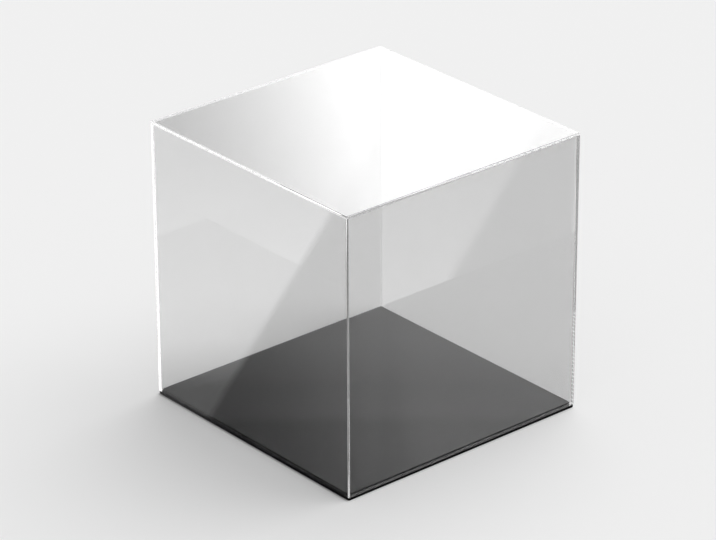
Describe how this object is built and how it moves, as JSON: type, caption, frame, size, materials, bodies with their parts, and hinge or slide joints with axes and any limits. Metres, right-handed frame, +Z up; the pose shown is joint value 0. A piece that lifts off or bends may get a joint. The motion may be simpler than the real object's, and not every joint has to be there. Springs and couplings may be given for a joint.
{
  "type": "acrylic display case",
  "caption": "Cube display case: a clear five-sided acrylic cover that lifts straight up off a black acrylic base with a raised locating plate.",
  "frame": {"origin": "middle of the base plate's underside, on the surface that the case stands on", "axes": "+Z up, along the way the cover lifts off; the front panel faces -Y and the right panel faces +X"},
  "size_m": [0.3, 0.3, 0.3031],
  "materials": {
    "clear_acrylic": "polished",
    "black_acrylic": "polished"
  },
  "bodies": {
    "base": {"base_plate": "black_acrylic", "locating_plate": "black_acrylic"},
    "cover": {"front_panel": "clear_acrylic", "back_panel": "clear_acrylic", "left_panel": "clear_acrylic", "right_panel": "clear_acrylic", "top_panel": "clear_acrylic"}
  },
  "joints": [
    {"name": "cover_lift", "type": "slide", "parent": "base", "child": "cover", "axis": [0, 0, 1], "range_m": [0, 0.31]}
  ]
}
